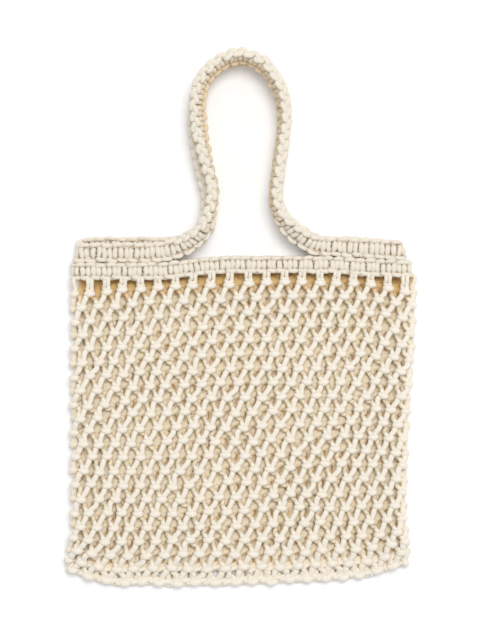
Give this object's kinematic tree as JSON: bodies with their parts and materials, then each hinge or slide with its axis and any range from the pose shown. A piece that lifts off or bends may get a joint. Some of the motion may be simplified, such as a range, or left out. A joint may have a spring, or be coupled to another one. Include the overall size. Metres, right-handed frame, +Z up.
{
  "type": "macrame tote bag",
  "caption": "Knotted cotton net tote bag lying flat, with a square-knot rim band and a square-knot strap that runs round the mouth and loops into carrying handles front and back.",
  "frame": {"origin": "below the middle of the whole bag's box, on the surface that the bag lies on", "axes": "+Z up, out of the bag's front; +Y from the hem to the handles; +X to the right of the front"},
  "size_m": [0.3622, 0.5631, 0.0431],
  "materials": {
    "net_cord": "matt undyed cotton cord, loosely twisted",
    "band_cord": "matt undyed cotton cord, in tight square knots"
  },
  "bodies": {
    "root": {"net_body": "net_cord", "rim_band": "band_cord", "carry_strap": "band_cord"}
  },
  "joints": []
}
